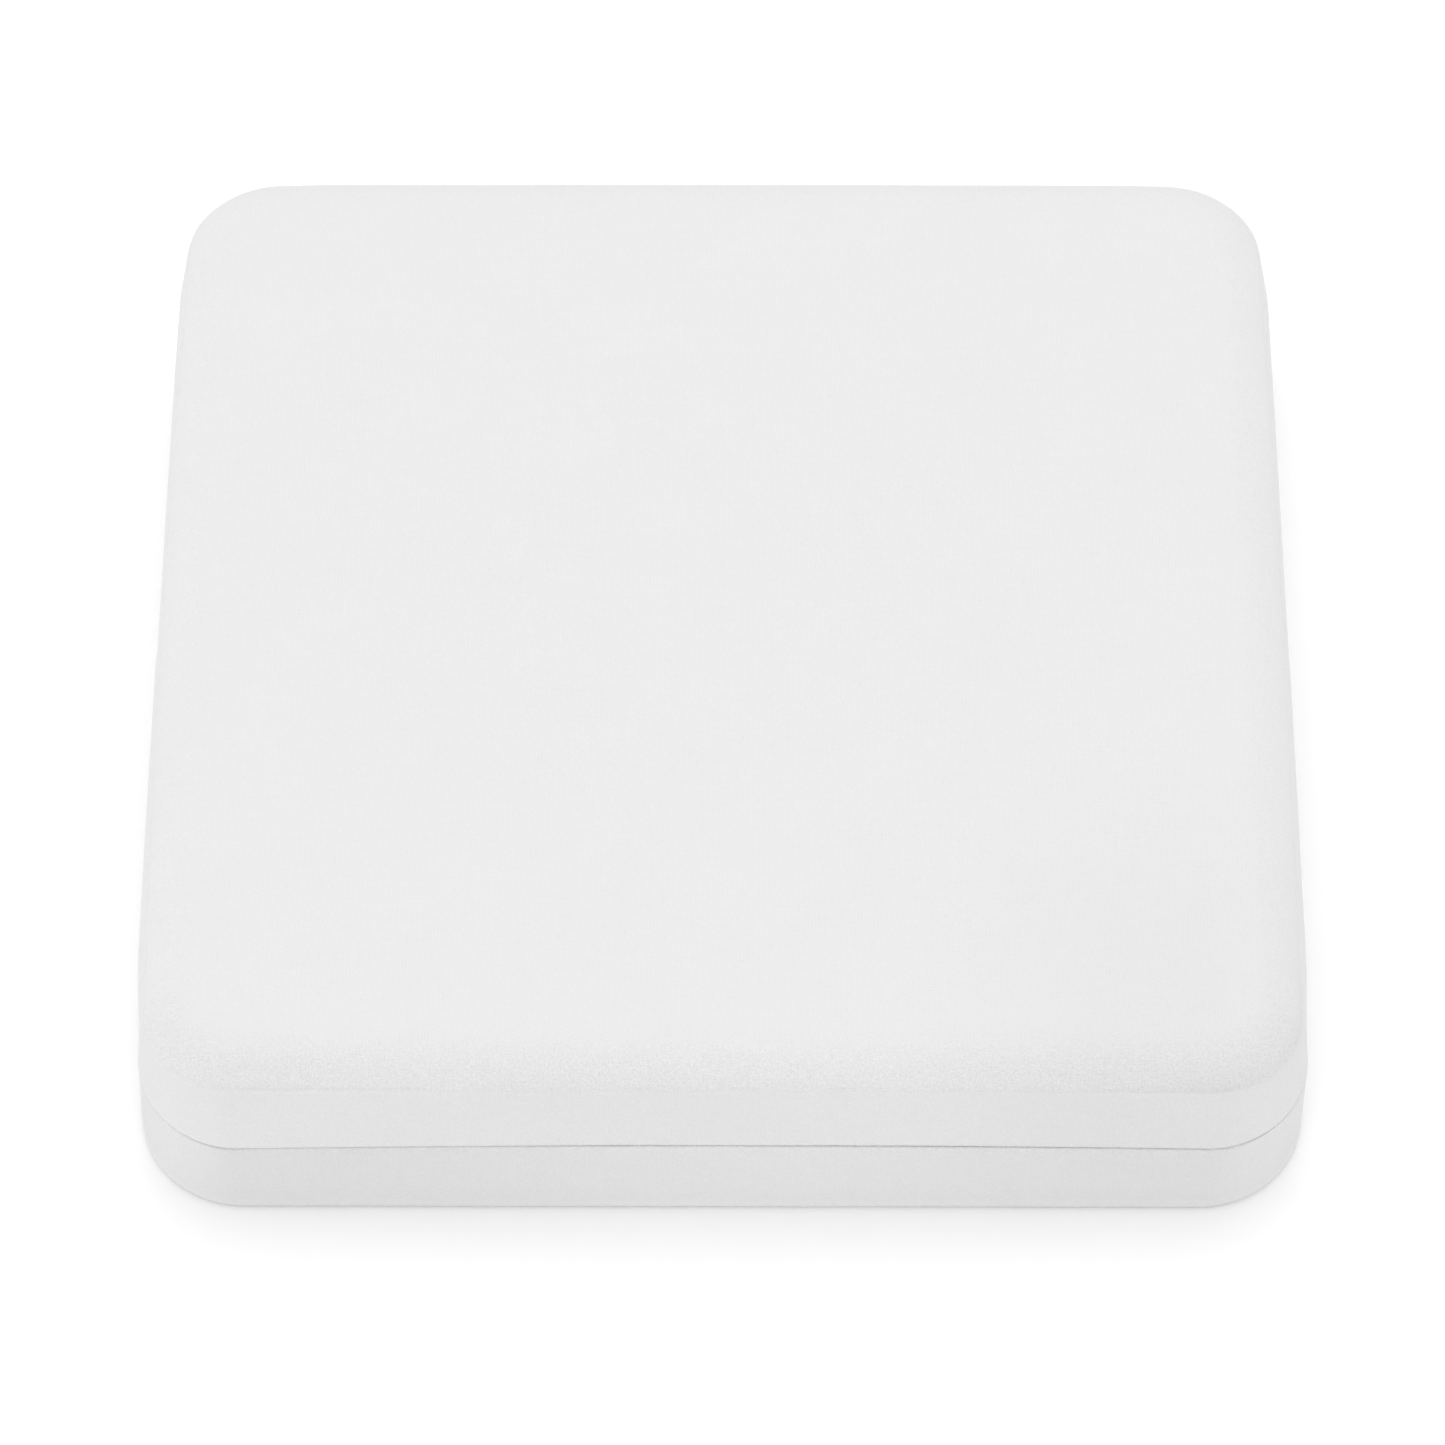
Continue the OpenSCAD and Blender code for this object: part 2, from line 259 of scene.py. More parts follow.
def vertex_normals(obj):
    normals = np.zeros(len(obj.data.vertices) * 3, np.float32)
    obj.data.vertices.foreach_get("normal", normals)
    return normals.reshape(-1, 3).astype(float)


def vertex_places(obj):
    places = np.zeros(len(obj.data.vertices) * 3, np.float32)
    obj.data.vertices.foreach_get("co", places)
    return places.reshape(-1, 3).astype(float)


def set_places(obj, places):
    obj.data.vertices.foreach_set("co", places.astype(np.float32).ravel())
    obj.data.update()


def smooth_step(x):
    x = np.clip(x, 0, 1)
    return x * x * (3 - 2 * x)


def keep_modifiers(obj):
    """Applies an object's modifiers to its mesh."""
    depsgraph = bpy.context.evaluated_depsgraph_get()
    mesh = bpy.data.meshes.new_from_object(obj.evaluated_get(depsgraph))
    obj.modifiers.clear()
    obj.data = mesh


SWELL_FRAMES = 20


def swell(obj, glued, pressure, spare, reach):
    """Swells a pad by a cloth simulation with air pressure in it, and keeps the result.

    glued marks the points that are held. The cloth is cut a share, spare, larger than its frame, so it
    wrinkles. A point moves by reach at most.
    """
    scene = bpy.context.scene
    before = vertex_places(obj)
    group = obj.vertex_groups.new(name="glued")
    group.add(np.flatnonzero(glued).tolist(), 1.0, "REPLACE")
    cloth = obj.modifiers.new("cloth", "CLOTH")
    cloth.settings.quality = 5
    cloth.settings.vertex_group_mass = "glued"
    cloth.settings.shrink_min = -spare
    cloth.settings.bending_stiffness = 0.2
    cloth.settings.use_pressure = True
    cloth.settings.uniform_pressure_force = pressure
    cloth.settings.effector_weights.gravity = 0
    cloth.point_cache.frame_start, cloth.point_cache.frame_end = 1, SWELL_FRAMES
    for number in range(1, SWELL_FRAMES + 1):
        scene.frame_set(number)
    keep_modifiers(obj)
    scene.frame_set(1)
    moved = vertex_places(obj) - before
    length = np.maximum(np.linalg.norm(moved, axis=1), 1e-9)
    set_places(obj, before + moved * (reach * np.tanh(length / reach) / length)[:, None])


def subdivide(obj, levels):
    modifier = obj.modifiers.new("smooth", "SUBSURF")
    modifier.levels = modifier.render_levels = levels
    keep_modifiers(obj)


# ---------------------------------------------------------------- materials
PER_MM = (1000, 1000, 1000)  # from metres to millimetres, in which the patterns are scaled


def new_material(name):
    material = bpy.data.materials.new(name)
    material.use_nodes = True
    tree = material.node_tree
    return material, tree, tree.nodes["Principled BSDF"]


def node(tree, kind, **settings):
    made = tree.nodes.new(kind)
    for key, value in settings.items():
        setattr(made, key, value)
    return made


def math_node(tree, operation, a, b=None, c=None):
    made = node(tree, "ShaderNodeMath", operation=operation)
    for socket, value in zip(made.inputs, (a, b, c)):
        if value is None:
            continue
        if isinstance(value, (int, float)):
            socket.default_value = value
        else:
            tree.links.new(value, socket)
    return made.outputs[0]


def noise_node(tree, vector, scale, detail=2.0, roughness=0.5, distortion=0.0):
    made = node(tree, "ShaderNodeTexNoise")
    made.inputs["Scale"].default_value = scale
    made.inputs["Detail"].default_value = detail
    made.inputs["Roughness"].default_value = roughness
    made.inputs["Distortion"].default_value = distortion
    tree.links.new(vector, made.inputs["Vector"])
    return made.outputs["Fac"]


def scaled(tree, vector, factors):
    made = node(tree, "ShaderNodeVectorMath", operation="MULTIPLY")
    made.inputs[1].default_value = factors
    tree.links.new(vector, made.inputs[0])
    return made.outputs[0]


def centred(tree, value, strength):
    """A 0 to 1 value as a swing of strength either side of nothing."""
    return math_node(tree, "MULTIPLY", math_node(tree, "SUBTRACT", value, 0.5), strength)


def tinted(tree, base, factor):
    """A colour multiplied by a grey factor."""
    made = node(tree, "ShaderNodeMix", data_type="RGBA", blend_type="MULTIPLY")
    made.inputs["Factor"].default_value = 1.0
    made.inputs[6].default_value = (*base, 1)
    tree.links.new(factor, made.inputs[7])
    return made.outputs[2]


def bump(tree, shader, height, strength, distance):
    made = node(tree, "ShaderNodeBump")
    made.inputs["Strength"].default_value = strength
    made.inputs["Distance"].default_value = distance
    tree.links.new(height, made.inputs["Height"])
    tree.links.new(made.outputs[0], shader.inputs["Normal"])
    return made


def make_weave(tree, in_mm, pitch):
    """Two crossing sets of threads that wander a little and show more in some patches than in others."""
    split = node(tree, "ShaderNodeSeparateXYZ")
    tree.links.new(in_mm, split.inputs[0])
    wander = math_node(tree, "MULTIPLY", noise_node(tree, in_mm, 0.45, 2.0), 9.0)
    waves = []
    for axis in (0, 1):
        phase = math_node(tree, "MULTIPLY", split.outputs[axis], 2 * math.pi / pitch)
        waves.append(math_node(tree, "SINE", math_node(tree, "ADD", phase, wander)))
    patches = noise_node(tree, in_mm, 0.16, 3.0, 0.6)
    return math_node(tree, "MULTIPLY", math_node(tree, "ADD", *waves), patches)


def make_velvet(name, base, weave_pitch, weave_strength, speckle_strength, roll_strength):
    """Short-pile velvet: crossing threads under a speckled pile that shows most where the cloth bends."""
    material, tree, shader = new_material(name)
    cloth = node(tree, "ShaderNodeUVMap", uv_map="cloth").outputs[0]
    in_mm = scaled(tree, cloth, PER_MM)
    solid = scaled(tree, node(tree, "ShaderNodeTexCoord").outputs["Object"], PER_MM)
    weave = make_weave(tree, in_mm, weave_pitch)
    speckle = noise_node(tree, solid, 3.2, 2.0, 0.6)
    fine = noise_node(tree, solid, 7.0, 1.0, 0.6)
    mottle = noise_node(tree, solid, 0.07, 4.0, 0.6)
    streak = noise_node(tree, scaled(tree, in_mm, (0.5, 2.2, 1.0)), 0.35, 3.0, 0.6)
    roll = node(tree, "ShaderNodeAttribute", attribute_name="roll").outputs["Fac"]
    speckle_gain = math_node(tree, "MULTIPLY_ADD", roll, roll_strength - speckle_strength, speckle_strength)
    # The flecks are taken from 0.57 rather than 0.5, so they lean dark. Where their gain is high, over the
    # roll and the rims, this also paints a little shade.
    shade = math_node(tree, "MULTIPLY", math_node(tree, "SUBTRACT", speckle, 0.57), speckle_gain)
    fine_part = math_node(tree, "MULTIPLY", math_node(tree, "SUBTRACT", fine, 0.5), speckle_gain)
    shade = math_node(tree, "ADD", shade, fine_part)
    shade = math_node(tree, "ADD", shade, math_node(tree, "MULTIPLY", weave, weave_strength))
    shade = math_node(tree, "ADD", shade, centred(tree, mottle, 0.03))
    shade = math_node(tree, "ADD", shade, centred(tree, streak, 0.02))
    # painted light and shade, carried per point on the mesh, lightens or darkens the velvet's colour
    painted_light_and_shade = node(tree, "ShaderNodeAttribute", attribute_name="painted_light_and_shade").outputs["Fac"]
    shade = math_node(tree, "ADD", shade, painted_light_and_shade)
    shade = math_node(tree, "ADD", shade, 1.0)
    tree.links.new(tinted(tree, base, shade), shader.inputs["Base Color"])
    height = math_node(tree, "ADD", math_node(tree, "MULTIPLY", weave, 0.35), speckle)
    height = math_node(tree, "ADD", height, math_node(tree, "MULTIPLY", fine, 0.5))
    bump(tree, shader, height, 0.35, 0.08 * MM)
    roughness = math_node(tree, "ADD", centred(tree, speckle, 0.2), 0.92)
    tree.links.new(roughness, shader.inputs["Roughness"])
    shader.inputs["Specular IOR Level"].default_value = 0.15
    shader.inputs["Sheen Weight"].default_value = 0.12
    shader.inputs["Sheen Roughness"].default_value = 0.45
    return material


def make_satin(name, base):
    material, tree, shader = new_material(name)
    in_mm = scaled(tree, node(tree, "ShaderNodeUVMap", uv_map="cloth").outputs[0], PER_MM)
    threads = noise_node(tree, scaled(tree, in_mm, (0.25, 9.0, 1.0)), 1.0, 2.0, 0.6)
    slubs = noise_node(tree, scaled(tree, in_mm, (0.05, 1.6, 1.0)), 1.0, 3.0, 0.6)
    patches = noise_node(tree, in_mm, 0.04, 3.0, 0.55)
    shade = math_node(tree, "ADD", centred(tree, threads, 0.06), centred(tree, slubs, 0.05))
    shade = math_node(tree, "ADD", shade, centred(tree, patches, 0.04))
    shade = math_node(tree, "ADD", shade, 1.0)
    tree.links.new(tinted(tree, base, shade), shader.inputs["Base Color"])
    bump(tree, shader, math_node(tree, "ADD", threads, slubs), 0.25, 0.03 * MM)
    roughness = math_node(tree, "ADD", centred(tree, threads, 0.12), 0.36)
    tree.links.new(roughness, shader.inputs["Roughness"])
    shader.inputs["Specular IOR Level"].default_value = 0.45
    shader.inputs["Anisotropic"].default_value = 0.5
    shader.inputs["Sheen Weight"].default_value = 0.1
    return material


def make_solid(name, base, roughness, metallic, grain, grain_stretch, variation, depth):
    """Plastic, card, board, foam or metal: a base colour with grain in its colour, gloss and relief."""
    material, tree, shader = new_material(name)
    solid = scaled(tree, node(tree, "ShaderNodeTexCoord").outputs["Object"], PER_MM)
    grained = noise_node(tree, scaled(tree, solid, grain_stretch), grain, 4.0, 0.6)
    broad = noise_node(tree, solid, 0.09, 3.0, 0.5)
    shade = math_node(tree, "ADD", centred(tree, grained, variation), centred(tree, broad, variation))
    shade = math_node(tree, "ADD", shade, 1.0)
    tree.links.new(tinted(tree, base, shade), shader.inputs["Base Color"])
    rough = math_node(tree, "ADD", centred(tree, grained, 0.25), roughness)
    tree.links.new(rough, shader.inputs["Roughness"])
    shader.inputs["Metallic"].default_value = metallic
    bump(tree, shader, grained, 0.4, depth)
    return material


velvet = make_velvet("white_velvet", (0.702, 0.702, 0.702), 0.42, 0.012, 0.065, 0.30)
pad_velvet = make_velvet("pad_velvet", (0.70, 0.70, 0.695), 0.42, 0.012, 0.10, 0.30)
satin = make_satin("white_satin", (0.74, 0.735, 0.725))
plastic = make_solid("shell_plastic", (0.72, 0.72, 0.71), 0.5, 0, 3.0, (1, 1, 1), 0.03, 0.02 * MM)
card = make_solid("bottom_card", (0.66, 0.68, 0.71), 0.55, 0, 2.0, (1, 1, 1), 0.06, 0.02 * MM)
greyboard = make_solid("greyboard", (0.42, 0.38, 0.33), 0.9, 0, 2.5, (1, 0.5, 1), 0.25, 0.06 * MM)
foam = make_solid("foam", (0.78, 0.76, 0.66), 0.95, 0, 1.8, (1, 1, 1), 0.2, 0.3 * MM)
nickel = make_solid("nickel_strip", (0.62, 0.61, 0.59), 0.3, 1, 3.0, (0.15, 3, 3), 0.18, 0.01 * MM)
wire = make_solid("drawn_wire", (0.55, 0.55, 0.55), 0.35, 1, 4.0, (0.1, 3, 3), 0.2, 0.01 * MM)
spring_steel = make_solid("spring_steel", (0.42, 0.43, 0.46), 0.28, 1, 3.0, (3, 0.15, 0.15), 0.2, 0.01 * MM)
rivet_metal = make_solid("rivet_metal", (0.68, 0.68, 0.69), 0.32, 1, 5.0, (1, 1, 1), 0.15, 0.01 * MM)


# ---------------------------------------------------------------- covers
SIDE_STEPS = 200
CORNER_STEPS = 36
WALL_STEP = 0.7 * MM
HIDDEN_STEP = 4 * MM

# Spacing of the sections' points
TOP_STEP = 1.2 * MM
ROLL_STEP = 0.5 * MM
ROLL_FINE = 12  # degrees of the roll next to the crease with close points
CREASE_STEP = 0.2 * MM
WALL_FINE = 1.6 * MM
RIM_STEP = 0.15 * MM
FLAT_STEP = 0.6 * MM
TURN_STEP = 1 * MM

# The parting line bows up in the middle of the front and dips at its corners, and the crease follows it
BOW_MIDDLE = 0.35 * MM
BOW_LEFT = -1.2 * MM
BOW_RIGHT = -0.9 * MM
CREASE_LEFT = -0.3 * MM
CREASE_RIGHT = -0.9 * MM
BOW_H = 9 * MM

# Its cloth edges are uneven, and nearly meet away from the middle of the front
RAGGED = 0.05 * MM
EDGE_H = 1.2 * MM
CLOSED_LEFT = 0.18 * MM
CLOSED_RIGHT = 0.14 * MM
CLOSED_SIDE = 0.06 * MM
OPEN = -0.05 * MM
GAP_MIDDLE = 14 * MM
GAP_REACH = 70 * MM
GAP_PATCHY = 0.012 * MM

# The padded sides belly out, and the stretched corners pull in
BELLY = 0.08 * MM
BELLY_LEFT = 0.2 * MM
CORNER_PULL = 0.55 * MM
PULL_FRONT_LEFT = 0.72 * MM
PULL_FRONT_RIGHT = 0.5 * MM
PULL_REACH = 20 * MM
PULL_SIDE = 17 * MM
BASE_LEFT = 0.45  # the foot's share of the pull at the parting line
BASE_RIGHT = 0.8

# Crown, crease and padding of the top, and hem of the base
CROWN = 0.25 * MM
CREASE_DEPTH = 0.42 * MM
CORNER_DIP = 0.1 * MM  # the soft hollow that carries the crease on round the right front corner
HOLLOW_IN = 0.5 * MM
HOLLOW_REACH = 1.3 * MM
HOLLOW_PAINTED_SHADE = 0.03  # painted shade: the hollow at the right front corner is darker
FOAM_SLACK = 0.12 * MM
PADDING_SIDE_STEPS = 40
PADDING_CORNER_STEPS = 10
HEM_DROP = 0.02 * MM
CLEAR = 0.05 * MM

# Light and shade painted into the velvet's colour, by place
WALL_SPECKLE = 0.34  # how far the walls' flecks go towards the roll's
WALL_PAINTED_LIGHT = 0.022  # painted light: the lid's walls are a little lighter
ROLL_PAINTED_SHADE = 0.02  # painted shade: the front of the roll is a little darker, away from its middle
FOOT_PAINTED_LIGHT = 0.06  # painted light: the base's wall is lighter along its foot
FOOT_H = 3.2 * MM
BASE_ENDS_PAINTED_SHADE = -0.018  # painted shade: the base's front is a little darker at its ends
MIDDLE_PAINTED_LIGHT = 0.047  # painted light: and lighter in its middle
MIDDLE_X = 5 * MM
MIDDLE_REACH = 38 * MM
UPPER_PAINTED_SHADE = -0.018  # painted shade: and darker towards the parting line
UPPER_Z = 4 * MM
UPPER_H = 8 * MM
RIGHT_PAINTED_SHADE = -0.03  # painted shade: the lid's front is darker towards the right
RIGHT_X = 22 * MM
RIGHT_FADE = 35 * MM
AHEAD_Y = 20 * MM
AHEAD_FADE = 40 * MM


def lean_x(inset, z):
    return CORNER - inset - LEAN_SLOPE * (z - LID_RIM)


def in_notch(centres, outward):
    """1 in the hinge's notch and 0 elsewhere, for each column of the plan."""
    at_rear = (outward[:, 1] > 0.999).astype(float)
    inside = smooth_step((NOTCH_HALF - np.abs(centres[:, 0])) / (0.7 * MM) + 0.5)
    return at_rear * inside


def bow(centres, outward, middle, left, right):
    """How far a line round the case rises in the middle of the front, and sinks at its front corners."""
    place = centres + outward * CORNER
    front = smooth_step((-place[:, 1] - 0.2 * HALF) / (0.8 * HALF))
    corner = np.where(place[:, 0] < 0, left, right)
    return front * (middle + (corner - middle) * (place[:, 0] / HALF) ** 2)


def rim_bow(centres, outward):
    return bow(centres, outward, BOW_MIDDLE, BOW_LEFT, BOW_RIGHT)


def close_up(centres, outward):
    """How far each rim's pile reaches into the gap: least along the front, most at the sides and corners."""
    place = centres + outward * CORNER
    at_front = smooth_step((-outward[:, 1] - 0.6) / 0.4)
    wide = at_front * np.exp(-(((place[:, 0] - GAP_MIDDLE) / GAP_REACH) ** 2))
    patchy = noise_at(np.column_stack([place, np.zeros(len(place))]), 7 * MM, 21)
    shut = np.where(place[:, 0] < 0, CLOSED_LEFT, CLOSED_RIGHT)
    shut = shut + CLOSED_SIDE * smooth_step(-outward[:, 0] / 0.5)
    return shut - (shut - OPEN) * wide + GAP_PATCHY * patchy


def slack(centres, outward):
    """How far the padded sides belly out in their middles, and are pulled in by the stretched corners."""
    along = np.abs(centres[:, 0] * outward[:, 1] - centres[:, 1] * outward[:, 0])
    straight = np.clip(1 - (along / STRAIGHT) ** 2, 0, 1) * (np.abs(outward[:, 0] * outward[:, 1]) < 0.005)
    belly = np.where(outward[:, 0] < -0.5, BELLY_LEFT, BELLY)
    return belly * straight - corner_pull(centres, outward)


def corner_pull(centres, outward):
    place = centres + outward * CORNER
    front = np.where(place[:, 0] < 0, PULL_FRONT_LEFT, PULL_FRONT_RIGHT)
    return np.where(place[:, 1] < 0, front, CORNER_PULL) * corner_share(centres, outward)


def corner_share(centres, outward):
    """1 over the rounded corners and 0 on the sides. At the front it reaches back along the sides."""
    place = centres + outward * CORNER
    rear = smooth_step(1.15 - (HALF - np.minimum(np.abs(place[:, 0]), np.abs(place[:, 1]))) / PULL_REACH)
    along_side = smooth_step(1 - (HALF + place[:, 1] - CORNER) / PULL_SIDE)
    return np.where(place[:, 1] < 0, along_side * smooth_step(np.abs(outward[:, 0])), rear)


def ragged(centres, outward, seed):
    """The uneven edge of the turned velvet, for each column of the plan."""
    place = np.column_stack([centres + outward * CORNER, np.zeros(len(centres))])
    return RAGGED * (noise_at(place, 1.3 * MM, seed) + 0.4 * noise_at(place, 6 * MM, seed + 1))


def front_face(places):
    """1 over the flat of the front, fading out round its corners."""
    return smooth_step((HALF - CORNER / 2 - np.abs(places[:, 0])) / (8 * MM)) * (places[:, 1] < CENTRE_Y)


def front_middle(places):
    """1 in the middle of the front, fading out to its ends."""
    return np.exp(-(((places[:, 0] - MIDDLE_X) / MIDDLE_REACH) ** 2)) * (places[:, 1] < CENTRE_Y)


def front_right(places):
    """1 at the right end of the front, fading out to the left, to the back and a little round the corner."""
    ahead = smooth_step((CENTRE_Y - places[:, 1] - AHEAD_Y) / AHEAD_FADE)
    to_right = smooth_step((places[:, 0] - RIGHT_X) / RIGHT_FADE)
    return to_right * ahead * (0.55 + 0.45 * front_face(places))


def lid_path():
    """From the top's middle over the roll, down the wall, round the rim, up the turn-in, and back inside."""
    roll_r = (ROLL_IN**2 + ROLL_H**2) / (2 * ROLL_H)
    roll_x = CORNER - LEAN - ROLL_IN
    roll_z = TOP - roll_r
    low = math.degrees(math.asin((CREASE - roll_z) / roll_r))
    inner = SHELL + 2 * VELVET
    turn_z = LID_RIM + LID_TURN_IN
    path = line((0, TOP), (roll_x, TOP), TOP_STEP)
    path += arc(roll_x, roll_z, roll_r, 90, low + ROLL_FINE, ROLL_STEP)
    path += arc(roll_x, roll_z, roll_r, low + ROLL_FINE, low, CREASE_STEP)
    below = CREASE - WALL_FINE
    path += line((lean_x(0, CREASE), CREASE), (lean_x(0, below), below), CREASE_STEP)
    path += line((lean_x(0, below), below), (CORNER, LID_RIM + RIM_ROUND), WALL_STEP)
    path += arc(CORNER - RIM_ROUND, LID_RIM + RIM_ROUND, RIM_ROUND, 0, -90, RIM_STEP)
    path += line((CORNER - RIM_ROUND, LID_RIM), (CORNER - inner + RIM_ROUND, LID_RIM), FLAT_STEP)
    path += arc(CORNER - inner + RIM_ROUND, LID_RIM + RIM_ROUND, RIM_ROUND, -90, -180, RIM_STEP)
    path += line((CORNER - inner, LID_RIM + RIM_ROUND), (lean_x(inner, turn_z), turn_z), TURN_STEP)
    path += line((lean_x(inner, turn_z), turn_z), (lean_x(inner - VELVET, turn_z), turn_z), VELVET)
    seen = len(path)
    rim = LID_RIM + VELVET
    path += line((lean_x(inner - VELVET, turn_z), turn_z), (lean_x(inner - VELVET, rim), rim), HIDDEN_STEP)
    path += line((lean_x(inner - VELVET, rim), rim), (lean_x(VELVET, rim), rim), HIDDEN_STEP)
    path += line((lean_x(VELVET, rim), rim), (lean_x(VELVET, CREASE), CREASE - VELVET / 2), HIDDEN_STEP)
    path += arc(roll_x, roll_z, roll_r - VELVET, low, 90, 2 * MM)
    path += [(roll_x, TOP - VELVET), (0, TOP - VELVET)]
    return path, seen


def lid_shape(x, z, centres, outward):
    """Where the padding and the stretch of its cloth put a ring of the lid's outer surface."""
    above_rim = np.clip((z - LID_RIM) / (CREASE - LID_RIM), 0, 1)
    below_top = min((TOP - z) / ROLL_H, 1)
    crease_bow = bow(centres, outward, 0, CREASE_LEFT, CREASE_RIGHT)
    rise = above_rim * crease_bow + (1 - above_rim) * rim_bow(centres, outward)
    place = centres + outward * CORNER
    front = place[:, 1] < 0
    at_rim = np.where(front, 1.0, 0.25)
    at_crease = np.where(front, np.where(place[:, 0] < 0, 0.5, 0.0), 1.0)
    share = min(x / (CORNER - LEAN - ROLL_IN), 1) * (at_rim + (at_crease - at_rim) * smooth_step(above_rim))
    return x + share * slack(centres, outward), z + below_top * rise


def lid_shape_of_ring(x, z, at, centres, outward):
    """lid_shape in the form that sweep asks for."""
    return lid_shape(x, z, centres, outward)


def make_lid_cover():
    path, seen = lid_path()
    s = lengths_along(np.array(path))
    wall_s = s[min(i for i, p in enumerate(path) if abs(p[1] - CREASE) < 1e-9)]
    rim_s = s[min(i for i, p in enumerate(path) if abs(p[1] - LID_RIM) < 1e-9)]
    turn_s = s[seen - 1]
    inner_x = SHELL + VELVET

    def move(x, z, at, centres, outward):
        notch = in_notch(centres, outward)
        edge = smooth_step(1 - (z - LID_RIM) / EDGE_H)
        if at <= rim_s and x > 0:
            xs, zs = lid_shape(x, z, centres, outward)
        else:
            near_rim = smooth_step(1 - (z - LID_RIM) / BOW_H)
            xs, zs = np.full(len(centres), x), z + near_rim * rim_bow(centres, outward)
        zs = zs + edge * (ragged(centres, outward, 3) - close_up(centres, outward))
        if at >= rim_s - 2 * RIM_ROUND:
            raised = np.maximum(zs, SEAM + NOTCH_H + CLEAR)
            zs = zs + notch * (raised - zs)
            flat = np.minimum(x, 0) + lean_x(inner_x - CLEAR, z)
            if x < lean_x(inner_x, z):
                xs = xs + notch * (flat - xs)
        elif at > wall_s:
            zs = zs + notch * (np.maximum(zs, SEAM + NOTCH_H) - zs)
        return xs, zs

    verts, faces, uvs, lengths = sweep(path, SIDE_STEPS, CORNER_STEPS, False, move)
    roll = smooth_step((lengths - wall_s + 10.5 * MM) / (7.5 * MM))
    roll = roll * smooth_step((wall_s - lengths) / (0.9 * MM) + 0.6)
    front = smooth_step((CENTRE_Y - verts[:, 1] - HALF + 20 * MM) / (10 * MM))
    rim = np.exp(-((lengths - rim_s) / (1 * MM)) ** 2)
    wall = (lengths > wall_s) * 1.0
    # painted shade in the crease's hollow at the right front corner
    painted_hollow_shade = at_right_front(verts) * np.exp(-((lengths - wall_s + HOLLOW_IN) / HOLLOW_REACH) ** 2)
    # painted shade over the roll's front, away from its middle
    roll_painted_shade_mask = roll * front * smooth_step((wall_s - lengths) / (3.5 * MM)) * (1 - front_middle(verts))
    painted_light_and_shade = WALL_PAINTED_LIGHT * wall - ROLL_PAINTED_SHADE * roll_painted_shade_mask + RIGHT_PAINTED_SHADE * front_right(verts) - HOLLOW_PAINTED_SHADE * painted_hollow_shade
    flecks = np.maximum(np.maximum(roll * (0.3 + 0.7 * front), 0.6 * rim), WALL_SPECKLE * wall)
    masks = {"roll": flecks, "painted_light_and_shade": painted_light_and_shade}
    obj = mesh_object("lid_velvet", verts, faces, uvs, masks)
    shape_cloth(obj, lengths, wall_s, turn_s, CREASE)
    return obj


def at_right_front(places):
    """1 at the right front corner and 0 away from it."""
    x, y = places[:, 0], places[:, 1] - CENTRE_Y
    corner = np.minimum(np.abs(x), np.abs(y)) / HALF
    return smooth_step(x / (20 * MM)) * (y < 0) * smooth_step((corner - 0.66) / 0.2)


def shape_cloth(obj, lengths, wall_s, turn_s, crease_z):
    """Crowns the top, sinks the crease below the roll and gives the cloth its small unevenness."""
    places, normals = vertex_places(obj), vertex_normals(obj)
    seen = (lengths < turn_s - 0.5 * MM).astype(float)
    reach = np.maximum(np.abs(places[:, 0]), np.abs(places[:, 1] - CENTRE_Y)) / (HALF - 8 * MM)
    crown = CROWN * (1 - smooth_step(reach)) * (lengths < wall_s)
    out = np.where(places[:, 2] > crease_z, crown, 0)
    corner = np.minimum(np.abs(places[:, 0]), np.abs(places[:, 1] - CENTRE_Y)) / HALF
    depth = 0.25 + 0.75 * smooth_step((corner - 0.4) / 0.35) + 0.3 * noise_at(places, 9 * MM, 11)
    at_right = smooth_step(places[:, 0] / (20 * MM)) * (places[:, 1] < CENTRE_Y)
    depth = depth * (1 - smooth_step((corner - 0.78 - 0.05 * at_right) / 0.1))
    broken = 0.65 + 0.5 * noise_at(places, 1.6 * MM, 12)
    out = out - CREASE_DEPTH * depth * broken * np.exp(-((lengths - wall_s) / (0.4 * MM)) ** 2)
    hollow = np.exp(-((lengths - wall_s + HOLLOW_IN) / HOLLOW_REACH) ** 2)
    out = out - CORNER_DIP * (at_right_front(places) * hollow)
    out = out + 0.03 * MM * noise_at(places, 18 * MM, 5) + 0.012 * MM * noise_at(places, 3 * MM, 6)
    set_places(obj, places + normals * (out * seen)[:, None])


